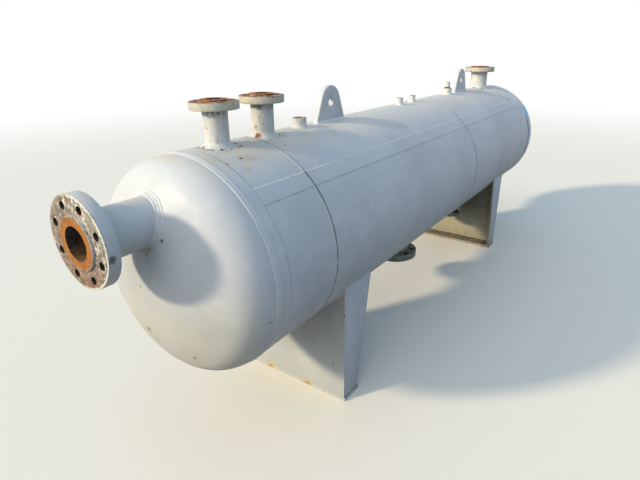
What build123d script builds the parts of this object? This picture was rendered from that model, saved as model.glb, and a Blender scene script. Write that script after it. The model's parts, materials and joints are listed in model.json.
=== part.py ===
"""Horizontal three-phase separator: a heavy-walled pressure vessel on two welded saddles.

Millimetres. +X runs along the vessel from the inlet head to the far head, +Z is up, and -Y is the
side with the long seam. The origin is on the ground under the middle of the overall length.
"""
import os
from math import asin, degrees, sqrt

from build123d import *

# Vessel shell and heads
SHELL_RADIUS = 381.0  # outside, a 30 in vessel
WALL = 50.8
SEAM_SPAN = 3027.0  # from one head seam to the other
NEAR_COURSE = 292.0  # the short course beside the inlet head
FAR_COURSE = 1260.0
HEAD_STRAIGHT = 31.0
DISH_RADIUS = 594.0  # inside, 0.9 of the inside diameter
KNUCKLE_RADIUS = 79.0  # inside, 0.12 of the inside diameter
AXIS_HEIGHT = 760.0

# Flange sizes of long weld neck nozzles, class 600
FOUR_INCH = {"flange": 273.0, "thick": 38.1, "face": 157.2, "barrel": 152.4, "bore": 101.6,
             "bolts": 8, "circle": 215.9, "hole": 25.4}
THREE_INCH = {"flange": 209.6, "thick": 31.8, "face": 127.0, "barrel": 117.5, "bore": 76.2,
              "bolts": 8, "circle": 168.3, "hole": 22.2}
TWO_INCH = {"flange": 165.1, "thick": 25.4, "face": 92.1, "barrel": 84.0, "bore": 50.8,
            "bolts": 8, "circle": 127.0, "hole": 19.1}
RAISED_FACE = 6.4
HUB_FILLET = 8.0  # under the flange, where it meets the barrel
RIM_CHAMFER = 1.5
WALL_HOLE_STEP = 3.0  # a hole drilled through the wall is this much narrower than the bore above it

# Where the nozzles stand, measured from the inlet head's seam
NOZZLE_PROJECTION = 152.4  # from the shell's outside to the raised face
TOP_NOZZLE_1 = 134.0
TOP_NOZZLE_2 = 364.0
TOP_NOZZLE_3 = 2815.0
BOTTOM_NOZZLE = 1517.0
BOTTOM_NOZZLE_2 = 2428.0  # close before the far saddle's web
INLET_PROJECTION = 171.0  # from the head's crown to the raised face
INLET_RISE = 207.0  # above the vessel's axis

# Half couplings on the top centre line
LARGE_COUPLING = {"outside": 57.0, "bore": 30.0, "height": 40.0}
SMALL_COUPLING = {"outside": 35.0, "bore": 23.0, "height": 38.0}
COUPLING_1 = 585.0
COUPLING_2 = 1490.0
COUPLING_3 = 1649.0
COUPLING_4 = 2184.0
COUPLING_CHAMFER = 2.0
PLUG_DIAMETER = 33.0
PLUG_HEIGHT = 38.0  # above the coupling's mouth
PLUG_DEPTH = 20.0
PLUG_CLEARANCE = 0.1

# Lifting lugs
LUG_1 = 800.0
LUG_2 = 2410.0
LUG_BASE = 206.0
LUG_CROWN = 71.0  # radius of the round top, about the hole
LUG_HOLE_HEIGHT = 79.0  # above the top of the shell
LUG_HOLE = 35.0
LUG_THICKNESS = 20.0

# Weld beads
SEAM_WELD_WIDTH = 72.0
SEAM_WELD_HEIGHT = 3.0
COURSE_WELD_WIDTH = 18.0
LONG_WELD_WIDTH = 64.0
LONG_WELD_ANGLE = 44.7  # from the top of the shell down its -Y side
LONG_WELD_HEIGHT = 2.0
NOZZLE_WELD = 16.0
COUPLING_WELD = 11.0

# Saddles
SADDLE_INSET = 433.0  # from a head seam to the web's outer face
SADDLE_HALF_WIDTH = 325.0
WEB_THICKNESS = 16.0
RIB_THICKNESS = 16.0
RIB_REACH_TOP = 192.0  # beyond the web
RIB_REACH_BOTTOM = 92.0
BASE_THICKNESS = 16.0
BASE_EDGE = 5.0  # beyond the saddle's sides

COURSE_WELD_HEIGHT = LONG_WELD_HEIGHT
INNER_RADIUS = SHELL_RADIUS - WALL
KNUCKLE_CENTRE = INNER_RADIUS - KNUCKLE_RADIUS  # from the vessel's axis
DISH_SETBACK = sqrt((DISH_RADIUS - KNUCKLE_RADIUS) ** 2 - KNUCKLE_CENTRE**2)
DISH_ANGLE = degrees(asin(KNUCKLE_CENTRE / (DISH_RADIUS - KNUCKLE_RADIUS)))
HEAD_DEPTH = DISH_RADIUS - DISH_SETBACK + WALL  # outside, from the tangent line to the crown
OVERALL_LENGTH = SEAM_SPAN + 2 * (HEAD_STRAIGHT + HEAD_DEPTH) + INLET_PROJECTION
NEAR_CROWN = INLET_PROJECTION - OVERALL_LENGTH / 2
NEAR_SEAM = NEAR_CROWN + HEAD_DEPTH + HEAD_STRAIGHT
FAR_SEAM = NEAR_SEAM + SEAM_SPAN
MIDDLE_START = NEAR_SEAM + NEAR_COURSE
MIDDLE_END = FAR_SEAM - FAR_COURSE
SHELL_TOP = AXIS_HEIGHT + SHELL_RADIUS
SHELL_BOTTOM = AXIS_HEIGHT - SHELL_RADIUS
VESSEL_AXIS = Axis((0, 0, AXIS_HEIGHT), (1, 0, 0))
UP = (0, 0, 1)
DOWN = (0, 0, -1)


def head_plane(seam_x, outward):
    """Sketch plane through the vessel's axis: its x points out through the head, its y down."""
    return Plane(origin=(seam_x, 0, AXIS_HEIGHT), x_dir=(outward, 0, 0), z_dir=(0, outward, 0))


def half_form(growth):
    """Half of a head's outline down to the axis, grown outward from the head's inner face."""
    with BuildSketch() as outline:
        with BuildLine():
            Line((0, 0), (0, INNER_RADIUS + growth))
            Line((0, INNER_RADIUS + growth), (HEAD_STRAIGHT, INNER_RADIUS + growth))
            CenterArc((HEAD_STRAIGHT, KNUCKLE_CENTRE), KNUCKLE_RADIUS + growth, 90, DISH_ANGLE - 90)
            CenterArc((HEAD_STRAIGHT - DISH_SETBACK, 0), DISH_RADIUS + growth, 0, DISH_ANGLE)
            Line((HEAD_STRAIGHT + HEAD_DEPTH - WALL + growth, 0), (0, 0))
        make_face()
    return outline.sketch


def build_envelope(growth):
    """The vessel's outer form as one solid, grown outward by a weld's leg."""
    with BuildPart() as form:
        with BuildSketch(Plane.YZ.offset(NEAR_SEAM)):
            with Locations((0, AXIS_HEIGHT)):
                Circle(SHELL_RADIUS + growth)
        extrude(amount=SEAM_SPAN)
        with BuildSketch(head_plane(NEAR_SEAM, -1), head_plane(FAR_SEAM, 1)):
            add(half_form(WALL + growth))
        revolve(axis=VESSEL_AXIS)
    return form.part


ENVELOPE = build_envelope(0)
NOZZLE_WELD_FORM = build_envelope(NOZZLE_WELD)
COUPLING_WELD_FORM = build_envelope(COUPLING_WELD)


def top_seat(distance):
    """Plane on the top line of the shell, facing up, at a distance from the inlet head's seam."""
    return Plane(origin=(NEAR_SEAM + distance, 0, SHELL_TOP), x_dir=(1, 0, 0), z_dir=UP)


def bottom_seat(distance):
    """Plane on the bottom line of the shell, facing down, at a distance from the inlet head's seam."""
    return Plane(origin=(NEAR_SEAM + distance, 0, SHELL_BOTTOM), x_dir=(1, 0, 0), z_dir=DOWN)


NOZZLES = {
    "inlet_nozzle": (FOUR_INCH, Plane(origin=(NEAR_CROWN, 0, AXIS_HEIGHT + INLET_RISE),
                                      x_dir=(0, 1, 0), z_dir=(-1, 0, 0)), INLET_PROJECTION),
    "top_nozzle_1": (TWO_INCH, top_seat(TOP_NOZZLE_1), NOZZLE_PROJECTION),
    "top_nozzle_2": (TWO_INCH, top_seat(TOP_NOZZLE_2), NOZZLE_PROJECTION),
    "top_nozzle_3": (THREE_INCH, top_seat(TOP_NOZZLE_3), NOZZLE_PROJECTION),
    "bottom_nozzle": (FOUR_INCH, bottom_seat(BOTTOM_NOZZLE), NOZZLE_PROJECTION),
    "bottom_nozzle_2": (TWO_INCH, bottom_seat(BOTTOM_NOZZLE_2), NOZZLE_PROJECTION),
}
COUPLINGS = {
    "coupling_1": (LARGE_COUPLING, COUPLING_1),
    "coupling_2": (SMALL_COUPLING, COUPLING_2),
    "coupling_3": (SMALL_COUPLING, COUPLING_3),
    "coupling_4": (LARGE_COUPLING, COUPLING_4),
}
LUGS = {"lug_1": LUG_1, "lug_2": LUG_2}


def build_wall_hole(bore, seat):
    """The hole drilled through the vessel's wall and a fitting's root, narrower than the bore."""
    with BuildPart() as hole:
        with BuildSketch(seat):
            Circle((bore - WALL_HOLE_STEP) / 2)
        extrude(amount=SHELL_RADIUS / 2, both=True)
    return hole.part


WALL_HOLES = {name: build_wall_hole(size["bore"], seat) for name, (size, seat, _) in NOZZLES.items()}
WALL_HOLES.update({name: build_wall_hole(size["bore"], top_seat(distance))
                   for name, (size, distance) in COUPLINGS.items()})


def build_course(start_x, end_x):
    """One rolled course of the shell, open where the nozzles pass."""
    with BuildPart() as course:
        with BuildSketch(Plane.YZ.offset(start_x)):
            with Locations((0, AXIS_HEIGHT)):
                Circle(SHELL_RADIUS)
                Circle(INNER_RADIUS, mode=Mode.SUBTRACT)
        extrude(amount=end_x - start_x)
        for name, hole in WALL_HOLES.items():
            if name != "inlet_nozzle":
                add(hole, mode=Mode.SUBTRACT)
    return course


def build_head(seam_x, outward):
    """A dished and flanged head with its straight skirt."""
    with BuildPart() as head:
        with BuildSketch(head_plane(seam_x, outward)):
            add(half_form(WALL))
            add(half_form(0), mode=Mode.SUBTRACT)
        revolve(axis=VESSEL_AXIS)
        if outward < 0:
            add(WALL_HOLES["inlet_nozzle"], mode=Mode.SUBTRACT)
    return head


def build_girth_weld(seam_x, width, height):
    """A low crowned bead round the shell."""
    with BuildPart() as weld:
        with BuildSketch(head_plane(seam_x, 1)):
            with BuildLine():
                ThreePointArc((-width / 2, SHELL_RADIUS), (0, SHELL_RADIUS + height),
                              (width / 2, SHELL_RADIUS))
                Line((width / 2, SHELL_RADIUS), (-width / 2, SHELL_RADIUS))
            make_face()
        revolve(axis=VESSEL_AXIS)
    return weld


def build_nozzle(name, size, seat, projection):
    """A long weld neck: raised-face flange, straight barrel, bore and bolt holes, cut to its seat."""
    back = projection - RAISED_FACE - size["thick"]
    with BuildPart() as nozzle:
        with BuildSketch(seat.offset(-HEAD_DEPTH)):
            Circle(size["barrel"] / 2)
        extrude(amount=back + HEAD_DEPTH)
        with BuildSketch(seat.offset(back)):
            Circle(size["flange"] / 2)
        extrude(amount=size["thick"])
        circles = nozzle.edges().filter_by(GeomType.CIRCLE).group_by(SortBy.RADIUS)
        chamfer(circles[-1], RIM_CHAMFER)
        fillet(circles[0].sort_by(Axis(seat.origin, seat.z_dir))[-1], HUB_FILLET)
        with BuildSketch(seat.offset(back + size["thick"])):
            Circle(size["face"] / 2)
        extrude(amount=RAISED_FACE)
        with BuildSketch(seat.offset(back)):
            with PolarLocations(size["circle"] / 2, size["bolts"], start_angle=180 / size["bolts"]):
                Circle(size["hole"] / 2)
        extrude(amount=size["thick"], mode=Mode.SUBTRACT)
        add(ENVELOPE, mode=Mode.SUBTRACT)
        with Locations(seat.offset(projection)):
            Hole(size["bore"] / 2, depth=projection)
        add(WALL_HOLES[name], mode=Mode.SUBTRACT)
    return nozzle


def build_collar_weld(outside, seat, leg, weld_form):
    """The fillet weld round a barrel, following the curve of the wall."""
    with BuildPart() as weld:
        with BuildSketch(seat.offset(-HEAD_DEPTH)):
            Circle(outside / 2 + leg)
            Circle(outside / 2, mode=Mode.SUBTRACT)
        extrude(amount=HEAD_DEPTH + 2 * leg)
        add(weld_form, mode=Mode.INTERSECT)
        add(ENVELOPE, mode=Mode.SUBTRACT)
    return weld


def build_coupling(name, size, distance):
    """A forged half coupling standing on the shell."""
    with BuildPart() as coupling:
        with BuildSketch(top_seat(distance).offset(-WALL / 2)):
            Circle(size["outside"] / 2)
        extrude(amount=size["height"] + WALL / 2)
        chamfer(coupling.faces().sort_by(Axis.Z)[-1].edges(), COUPLING_CHAMFER)
        add(ENVELOPE, mode=Mode.SUBTRACT)
        with Locations(top_seat(distance).offset(size["height"])):
            Hole(size["bore"] / 2, depth=size["height"])
        add(WALL_HOLES[name], mode=Mode.SUBTRACT)
    return coupling


def build_lug(distance):
    """A lifting lug: a plate on the top line with a round crown about its hole."""
    side = Plane(origin=(NEAR_SEAM + distance, 0, SHELL_TOP), x_dir=(1, 0, 0), z_dir=(0, -1, 0))
    with BuildPart() as lug:
        with BuildSketch(side):
            with Locations((0, LUG_HOLE_HEIGHT)):
                Circle(LUG_CROWN)
            Rectangle(LUG_BASE, WALL / 2)
            make_hull()
            with Locations((0, LUG_HOLE_HEIGHT)):
                Circle(LUG_HOLE / 2, mode=Mode.SUBTRACT)
        extrude(amount=LUG_THICKNESS / 2, both=True)
        add(ENVELOPE, mode=Mode.SUBTRACT)
    return lug


def contact_height(half_width):
    """Height above the ground at which the shell's underside stands at a distance from its centre."""
    return AXIS_HEIGHT - sqrt(SHELL_RADIUS**2 - half_width**2)


def build_web(outer_x, inward):
    """The saddle's web plate, hollowed to the shell."""
    height = contact_height(SADDLE_HALF_WIDTH) - BASE_THICKNESS
    with BuildPart() as web:
        with BuildSketch(Plane.YZ.offset(outer_x)):
            with Locations((0, BASE_THICKNESS + height / 2)):
                Rectangle(2 * SADDLE_HALF_WIDTH, height)
        extrude(amount=inward * WEB_THICKNESS)
        add(ENVELOPE, mode=Mode.SUBTRACT)
    return web


def build_ribs(outer_x, inward):
    """Tapered ribs on the web's inner side, one at each end."""
    web_x = outer_x + inward * WEB_THICKNESS
    top = contact_height(SADDLE_HALF_WIDTH)
    ends = (-SADDLE_HALF_WIDTH + RIB_THICKNESS / 2, SADDLE_HALF_WIDTH - RIB_THICKNESS / 2)
    with BuildPart() as ribs:
        with BuildSketch(*[Plane(origin=(web_x, y, 0), x_dir=(inward, 0, 0), z_dir=(0, -inward, 0))
                           for y in ends]):
            Polygon((0, BASE_THICKNESS), (RIB_REACH_BOTTOM, BASE_THICKNESS), (RIB_REACH_TOP, top),
                    (0, top), align=None)
        extrude(amount=RIB_THICKNESS / 2, both=True)
        add(ENVELOPE, mode=Mode.SUBTRACT)
    return ribs


def build_base(outer_x, inward):
    """The flat foot plate under the web and ribs."""
    length = WEB_THICKNESS + RIB_REACH_BOTTOM + BASE_EDGE
    with BuildPart() as base:
        with BuildSketch(Plane.XY):
            with Locations((outer_x + inward * length / 2, 0)):
                Rectangle(length, 2 * (SADDLE_HALF_WIDTH + BASE_EDGE))
        extrude(amount=BASE_THICKNESS)
    return base


pieces = {
    "near_course": build_course(NEAR_SEAM, MIDDLE_START),
    "middle_course": build_course(MIDDLE_START, MIDDLE_END),
    "far_course": build_course(MIDDLE_END, FAR_SEAM),
    "near_head": build_head(NEAR_SEAM, -1),
    "far_head": build_head(FAR_SEAM, 1),
    "near_head_weld": build_girth_weld(NEAR_SEAM, SEAM_WELD_WIDTH, SEAM_WELD_HEIGHT),
    "far_head_weld": build_girth_weld(FAR_SEAM, SEAM_WELD_WIDTH, SEAM_WELD_HEIGHT),
    "near_course_weld": build_girth_weld(MIDDLE_START, COURSE_WELD_WIDTH, COURSE_WELD_HEIGHT),
    "far_course_weld": build_girth_weld(MIDDLE_END, COURSE_WELD_WIDTH, COURSE_WELD_HEIGHT),
}

# The long seam's weld: a flat strip along the shell, stopped by the girth welds that cross it
with BuildPart() as long_weld:
    with BuildSketch(Plane.YZ.offset(NEAR_SEAM)):
        with Locations((0, AXIS_HEIGHT)):
            Circle(SHELL_RADIUS + LONG_WELD_HEIGHT)
            Circle(SHELL_RADIUS, mode=Mode.SUBTRACT)
            with Locations(Location((0, 0), LONG_WELD_ANGLE)):
                Rectangle(LONG_WELD_WIDTH, 2 * SHELL_RADIUS, align=(Align.CENTER, Align.MIN),
                          mode=Mode.INTERSECT)
    extrude(amount=SEAM_SPAN)
    for girth_weld in ("near_head_weld", "near_course_weld", "far_course_weld", "far_head_weld"):
        add(pieces[girth_weld].part, mode=Mode.SUBTRACT)
pieces["long_weld"] = long_weld

for name, (size, seat, projection) in NOZZLES.items():
    pieces[name] = build_nozzle(name, size, seat, projection)
    pieces[name + "_weld"] = build_collar_weld(size["barrel"], seat, NOZZLE_WELD, NOZZLE_WELD_FORM)
for name, (size, distance) in COUPLINGS.items():
    pieces[name] = build_coupling(name, size, distance)
    pieces[name + "_weld"] = build_collar_weld(size["outside"], top_seat(distance), COUPLING_WELD,
                                               COUPLING_WELD_FORM)

# The round-headed plug screwed into the fourth coupling
with BuildPart() as coupling_4_plug:
    mouth = top_seat(COUPLING_4).offset(LARGE_COUPLING["height"])
    with BuildSketch(mouth):
        Circle(PLUG_DIAMETER / 2)
    extrude(amount=PLUG_HEIGHT)
    chamfer(coupling_4_plug.faces().sort_by(Axis.Z)[-1].edges(), COUPLING_CHAMFER)
    with BuildSketch(mouth):
        Circle(LARGE_COUPLING["bore"] / 2 - PLUG_CLEARANCE)
    extrude(amount=-PLUG_DEPTH)
pieces["coupling_4_plug"] = coupling_4_plug

for name, distance in LUGS.items():
    pieces[name] = build_lug(distance)

for side, outer_x, inward in (("near", NEAR_SEAM + SADDLE_INSET, 1), ("far", FAR_SEAM - SADDLE_INSET, -1)):
    pieces[side + "_saddle_web"] = build_web(outer_x, inward)
    pieces[side + "_saddle_ribs"] = build_ribs(outer_x, inward)
    pieces[side + "_saddle_base"] = build_base(outer_x, inward)

os.makedirs("parts", exist_ok=True)
for name, piece in pieces.items():
    piece.part.label = name
    export_step(piece.part, f"parts/{name}.step")
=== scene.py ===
"""Finish of a horizontal three-phase separator, laid over its packed construction.

Metres, in the construction's own frame: +X runs from the inlet head to the far head, +Z is up, and -Y is
the side with the long seam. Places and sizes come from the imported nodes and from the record's mounts.
"""

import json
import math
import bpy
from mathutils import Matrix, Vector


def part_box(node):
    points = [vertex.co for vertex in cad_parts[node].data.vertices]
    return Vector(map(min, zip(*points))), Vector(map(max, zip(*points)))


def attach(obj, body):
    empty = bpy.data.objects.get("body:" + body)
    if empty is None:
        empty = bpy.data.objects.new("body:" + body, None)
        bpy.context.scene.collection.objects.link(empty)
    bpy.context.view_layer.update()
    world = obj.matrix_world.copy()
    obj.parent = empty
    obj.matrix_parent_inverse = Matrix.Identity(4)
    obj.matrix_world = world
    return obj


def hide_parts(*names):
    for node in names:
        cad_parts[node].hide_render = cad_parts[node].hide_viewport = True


bl_info = {
    "name": "Three-phase separator",
    "version": (1, 0, 0),
    "blender": (4, 5, 0),
    "location": "View3D > Sidebar > Separator",
    "description": "Builds the shell, fittings, weld beads, finishes and studio of a horizontal separator",
    "category": "Object",
}

import bmesh
import bpy
from bpy.props import FloatProperty, FloatVectorProperty, IntProperty, PointerProperty
from mathutils import Matrix, Vector, noise

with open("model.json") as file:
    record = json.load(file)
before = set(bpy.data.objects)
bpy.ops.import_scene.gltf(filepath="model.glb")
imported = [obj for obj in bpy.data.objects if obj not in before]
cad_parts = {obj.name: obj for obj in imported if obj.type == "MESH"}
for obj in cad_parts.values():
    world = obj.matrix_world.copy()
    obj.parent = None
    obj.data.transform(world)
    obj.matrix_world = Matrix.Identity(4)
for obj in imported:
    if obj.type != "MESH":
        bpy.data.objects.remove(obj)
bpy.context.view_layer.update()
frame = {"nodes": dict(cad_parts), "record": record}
MOUNTS = {mount["name"]: mount for mount in frame["record"]["mounts"]}

# The vessel's main measures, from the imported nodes
SHELL_LOW, SHELL_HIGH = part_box("middle_course")
SHELL_RADIUS = (SHELL_HIGH.z - SHELL_LOW.z) / 2
AXIS_HEIGHT = (SHELL_HIGH.z + SHELL_LOW.z) / 2
NEAR_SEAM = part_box("near_course")[0].x
FAR_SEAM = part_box("far_course")[1].x
HEAD_LENGTH = NEAR_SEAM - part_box("near_head")[0].x

# How finely round forms are drawn
ROUND_STEPS = 192  # facets round the shell
FLANGE_STEPS = 96  # facets round a nozzle
COUPLING_STEPS = 64  # facets round a coupling
HOLE_STEPS = 40  # facets round a drilled hole
THREAD_STEPS = 32  # facets in one turn of a thread
DISH_STEPS, KNUCKLE_STEPS, HUB_STEPS = 24, 16, 6  # facets along the arcs of a head and of a nozzle's hub
RING_LENGTH = 0.08  # about how long the rings are that a course is drawn in
SMOOTH_BELOW, SHARP_ABOVE = math.radians(32), math.radians(40)  # edges shaded smooth, edges to ease
MERGED, CLOSE, TOUCHING = 1e-6, 1e-5, 1e-4  # how near two places are to be taken as one
UP = Vector((0, 0, 1))

# What the boxes don't give of the long weld neck flanges, and which nozzle's mounts hold their drilling
FOUR_INCH = {"thick": 0.0381, "face": 0.0786, "like": "inlet_nozzle"}
THREE_INCH = {"thick": 0.0318, "face": 0.0635, "like": "top_nozzle_3"}
TWO_INCH = {"thick": 0.0254, "face": 0.04605, "like": "top_nozzle_1"}
NOZZLES = {
    "inlet_nozzle": (FOUR_INCH, Vector((-1, 0, 0))),
    "top_nozzle_1": (TWO_INCH, UP),
    "top_nozzle_2": (TWO_INCH, UP),
    "top_nozzle_3": (THREE_INCH, UP),
    "bottom_nozzle": (FOUR_INCH, Vector((0, 0, -1))),
    "bottom_nozzle_2": (TWO_INCH, Vector((0, 0, -1))),
}
COUPLING_BORES = {"coupling_1": 0.015, "coupling_2": 0.0115, "coupling_3": 0.0115, "coupling_4": 0.015}
SADDLES = {"near_saddle": 1, "far_saddle": -1}  # which way along X the ribs stand from the web
LUGS = ("lug_1", "lug_2")
TOP_NOZZLES = ("top_nozzle_1", "top_nozzle_2", "top_nozzle_3")

# Small measures of the pieces and their beads
BURIED = 0.008  # how far a barrel or a bead goes into the wall, out of sight
PAINTED_EDGE = 0.004  # width of the painted ring round a gasket face
PAINT_REACH = 0.004  # how deep a head counts as painted; a course does to half of that
MOUTH_BEVEL, END_BEVEL = 0.0015, 0.002  # inner and outer eased edges of a coupling's end
MOUTH_RING = 0.0045  # how far out from the bore a coupling's end face has a ring of its own
THREAD_SUNK = 0.0004  # how far a thread's foot stands in the wall
THREAD_DEPTH = 0.4  # in pitches
LEG_SHARE = 0.95  # how much of its leg a round fillet fills
PLUG_PLAY = 0.0002  # how much thinner the plug's shank is than its bore
PLUG_GAP, PLUG_FOOT = 0.0005, 0.007  # where the plug's head begins over the mouth, and where its scale ends
PLUG_ROUND, PLUG_WORN = 0.004, 0.003  # round of the plug's top edge, and how deep its paint has flaked
# A toe is darkened as dirt beside a head, and as painted shade along the long seam's lower edge
TOE, TOE_DIRT_AND_SHADE = 0.002, 0.0035  # width of a bead's rounded edge, and how far in from it dirt lies
SEAM_LAP = 0.002  # how far the long seam runs in under the girth seams
STRAY_LENGTH, LOOP_STRAY_LENGTH = 0.03, 0.2  # over what length a bead wanders
ROUND_LOOSENESS, PLATE_LOOSENESS = 0.1, 0.08  # how much the width of a fillet wanders
CORNER_TURN = 0.006  # over what length a bead turns round a plate's corner
ROOT_REACH = 0.02  # how far out the wall's slope is taken beside a barrel
FILLETS = {"nozzle": (3, 18), "coupling": (2, 10), "plate": (1, 8)}  # passes of a fillet, and its facets

# The studio
FLOOR_HALF = 30  # half the width of the floor
FADED = 2.5  # how many times further out the floor has faded than where it begins to
SENSOR_WIDTH = 36  # of the camera, in millimetres
WHITE = (1, 1, 1, 1)

# Where rust glows across the near foot's front edge, and where the smudge lies on the inlet's flange
RUST_GLOWS = (0.098, -0.125)
SMUDGE = (-0.135, 0.948)

# Single chips and stains on the enamel: where they lie, how wide, their colour and how strong it is
MARKS = {
    "shell": (
        ((NEAR_SEAM - 0.195, 0.060, 0.570), 0.013, "pit", 1.0),
        ((NEAR_SEAM - 0.163, -0.124, 0.510), 0.009, "pit", 0.9),
        ((NEAR_SEAM - 0.226, 0.015, 0.760), 0.004, "pit", 1.0),
        ((NEAR_SEAM - 0.197, -0.091, 0.929), 0.008, "grime", 0.9),
        ((NEAR_SEAM - 0.209, -0.051, 0.901), 0.006, "grime", 0.9),
        ((NEAR_SEAM - 0.215, -0.032, 0.876), 0.005, "scale", 0.8),
        ((NEAR_SEAM - 0.059, -0.369, 0.680), 0.007, "rust", 0.6),
        ((NEAR_SEAM + 0.117, -0.131, 1.118), 0.030, "primer", 0.4),
        ((NEAR_SEAM + 0.151, -0.140, 1.115), 0.028, "primer", 0.35),
        ((NEAR_SEAM + 0.085, -0.185, 1.093), 0.024, "primer", 0.25),
        ((NEAR_SEAM + 0.190, -0.016, 1.141), 0.016, "scale", 1.0),
        ((NEAR_SEAM + 0.187, -0.056, 1.137), 0.012, "scale", 0.8),
        ((NEAR_SEAM + 0.103, -0.052, 1.137), 0.010, "pit", 1.0),
        ((NEAR_SEAM + 0.084, 0.047, 1.138), 0.011, "scale", 0.9),
        ((NEAR_SEAM + 0.082, 0.010, 1.141), 0.010, "pit", 0.9),
        ((NEAR_SEAM + 0.316, -0.015, 1.150), 0.018, "rust", 1.0),
        ((NEAR_SEAM + 0.311, -0.014, 1.150), 0.011, "pit", 0.9),
        ((NEAR_SEAM + 0.037, -0.140, 1.114), 0.005, "scale", 1.0),
        ((NEAR_SEAM + 0.109, -0.129, 1.118), 0.007, "scale", 1.0),
        ((NEAR_SEAM + 0.342, -0.123, 1.121), 0.005, "violet", 1.0),
        ((NEAR_SEAM + 0.424, -0.053, 1.137), 0.006, "grime", 1.0),
        ((FAR_SEAM - 0.213, -0.150, 1.110), 0.017, "grime", 0.6),
        ((FAR_SEAM - 0.213, -0.180, 1.096), 0.015, "olive", 1.0),
        ((FAR_SEAM - 0.238, -0.204, 1.082), 0.014, "grime", 0.5),
        ((FAR_SEAM - 0.203, -0.234, 1.061), 0.020, "olive", 0.9),
        ((FAR_SEAM - 0.160, -0.045, 1.138), 0.020, "scale", 0.9),
        ((FAR_SEAM - 0.286, 0.005, 1.141), 0.018, "olive", 1.0),
        ((FAR_SEAM - 0.262, -0.050, 1.138), 0.013, "grime", 0.8),
    ),
    "fittings": (
        ((NEAR_SEAM + 0.322, -0.002, 1.178), 0.010, "olive", 0.8),
        ((NEAR_SEAM + 0.092, 0.000, 1.204), 0.005, "rust", 0.9),
    ),
    "saddles": (
        ((NEAR_SEAM + 0.433, -0.324, 0.432), 0.005, "pit", 1.0),
        ((NEAR_SEAM + 0.433, -0.329, 0.336), 0.005, "pit", 0.9),
        ((NEAR_SEAM + 0.433, -0.268, 0.175), 0.006, "grime", 0.8),
    ),
}


def linear(code):
    """An sRGB hex colour as linear values."""
    parts = [int(code[i:i + 2], 16) / 255 for i in (1, 3, 5)]
    return [part / 12.92 if part <= 0.04045 else ((part + 0.055) / 1.055) ** 2.4 for part in parts]


def length_setting(name, description, default):
    """A length that a user may change."""
    return FloatProperty(name=name, description=description, default=default, min=0.0, precision=4,
                         unit="LENGTH", subtype="DISTANCE")


def colour_setting(name, description, code):
    """A colour that a user may change, with its default as sRGB hex."""
    return FloatVectorProperty(name=name, description=description, default=linear(code), min=0.0,
                               max=1.0, size=3, subtype="COLOR")


def angle_setting(name, description, default):
    """An angle that a user may change."""
    return FloatProperty(name=name, description=description, default=default, subtype="ANGLE")


class SeparatorShape(bpy.types.PropertyGroup):
    """Sizes of the vessel that its boxes don't show."""

    wall: length_setting("Wall", "Thickness of the shell and heads", 0.0508)
    dish: length_setting("Dish radius", "Inside radius of a head's crown", 0.594)
    knuckle: length_setting("Knuckle radius", "Inside radius of a head's turn into its skirt", 0.079)
    hole_step: length_setting("Hole step", "How much narrower a wall hole is than its bore", 0.003)
    hub_fillet: length_setting("Hub fillet", "Radius under a flange", 0.008)
    raised_face: length_setting("Raised face", "How far the gasket face stands out", 0.0064)
    rim_bevel: length_setting("Rim bevel", "Width of the eased edges of flanges", 0.0015)
    plate_bevel: length_setting("Plate bevel", "Width of the eased edges of plates", 0.0015)
    thread_pitch: length_setting("Thread pitch", "Distance between turns in a coupling", 0.0022)


class SeparatorWelds(bpy.types.PropertyGroup):
    """Sizes of the weld beads."""

    ripple: length_setting("Ripple", "Distance from one ripple of a bead to the next", 0.0065)
    ripple_depth: length_setting("Ripple depth", "Depth between two ripples", 0.0005)
    step: length_setting("Step", "Length of one facet along a bead", 0.0024)
    nozzle_leg: length_setting("Nozzle weld", "Leg of the fillet round a nozzle", 0.016)
    coupling_leg: length_setting("Coupling weld", "Leg of the fillet round a coupling", 0.011)
    plate_leg: length_setting("Plate weld", "Leg of the fillets on lugs and saddles", 0.009)
    ridges: IntProperty(name="Ridges", description="Beads left standing beside a head", default=3, min=1)
    ridge_pitch: length_setting("Ridge pitch", "Distance between the beads left standing", 0.0078)
    edge_bead: length_setting("Edge bead", "Width of the bead left along the long seam's top", 0.0062)


class SeparatorColours(bpy.types.PropertyGroup):
    """Colours of the finishes."""

    enamel: colour_setting("Enamel", "Grey enamel of the shell", "#CCCDC9")
    # Pale enamel also serves as the painted highlight on the long seam's bead
    enamel_pale: colour_setting("Chalked enamel", "Where the enamel has chalked", "#DAD9D2")
    enamel_dull: colour_setting("Dull enamel", "Where the enamel has dulled", "#BDBFBE")
    # Cream also serves as the painted highlight along the long seam's upper bead
    cream: colour_setting("Cream edge", "Thick old paint along seams", "#E0D9C6")
    # Ochre is also painted warm light: on the saddles' faces toward the key light, and low on the inlet head
    ochre: colour_setting("Ochre", "Yellowed paint on the saddles and the inlet head", "#CFC28A")
    olive: colour_setting("Olive grime", "Grime grown into the seams", "#8B8A78")
    # Grime also serves as painted shade: on the saddles under the vessel, under the top nozzles' rims and in
    # the long seam's lower toe
    grime: colour_setting("Grime", "Dirt in grooves and corners", "#56534C")
    pit: colour_setting("Pit", "Small chips through the enamel", "#4B3C31")
    scale: colour_setting("Scale", "Black specks of soil and mill scale", "#2B2622")
    dust: colour_setting("Dust", "Dust settled on the top", "#C9C2B0")
    rust_light: colour_setting("Light rust", "Fresh orange rust", "#A96F24")
    rust: colour_setting("Rust", "Old rust", "#985A2D")
    rust_dark: colour_setting("Dark rust", "Scale in the bores", "#2E2019")
    bare: colour_setting("Bare face", "Brown film where paint has flaked off a face", "#6F5D4B")
    primer: colour_setting("Primer", "Pinkish primer under the paint", "#BE998B")
    blue: colour_setting("Blue smear", "Spilt paint on the far head", "#6CC6F5")
    violet: colour_setting("Violet edge", "Thin edge of the spilt paint", "#5B4E93")


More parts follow.
